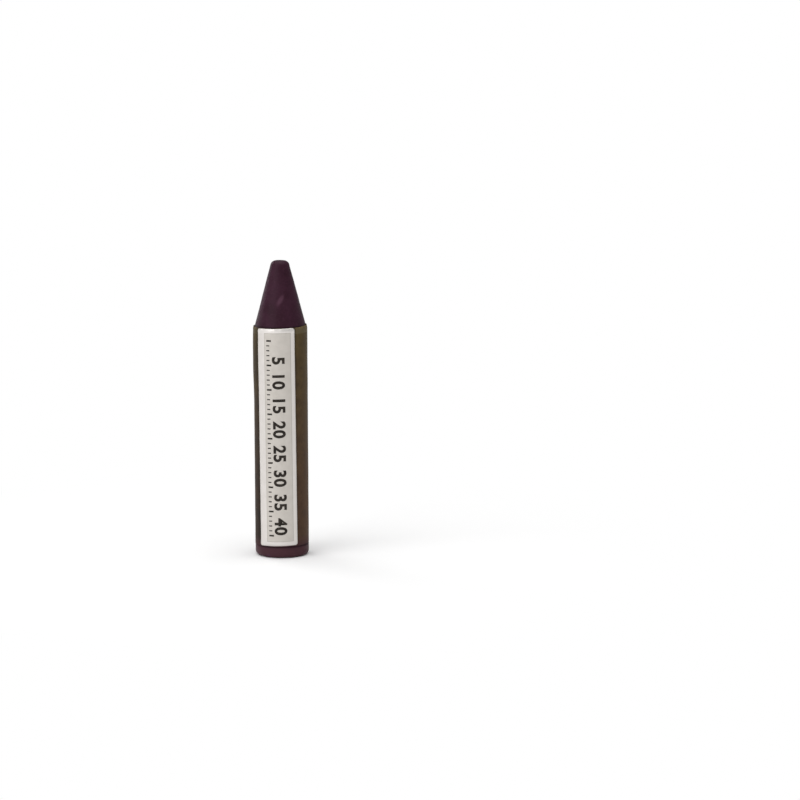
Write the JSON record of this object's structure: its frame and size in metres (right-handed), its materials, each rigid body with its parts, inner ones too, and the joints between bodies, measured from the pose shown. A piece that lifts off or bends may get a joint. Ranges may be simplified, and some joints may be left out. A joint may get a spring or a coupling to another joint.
{
  "type": "furniture wax filler stick",
  "caption": "Cast wax filler stick with a cone nose and a rounded foot, in a lapped paper wrap with a silver front label; the wrap draws off over the nose.",
  "frame": {"origin": "centre of the foot's flat underside, on the stick's axis", "axes": "+Z along the stick's axis towards the nose, -Y the side that the label faces"},
  "size_m": [0.0108, 0.0109, 0.06],
  "materials": {
    "filler_wax": "satin",
    "brown_paper": "satin",
    "paper_glue": "gloss",
    "silver_foil": "satin"
  },
  "bodies": {
    "stick": {"wax_stick": "filler_wax"},
    "wrap": {"paper_wrap": "brown_paper", "seam_adhesive": "paper_glue", "silver_label": "silver_foil"}
  },
  "joints": [
    {"name": "wrap_slide", "type": "slide", "parent": "stick", "child": "wrap", "axis": [0, 0, 1], "range_m": [0, 0.058]}
  ]
}
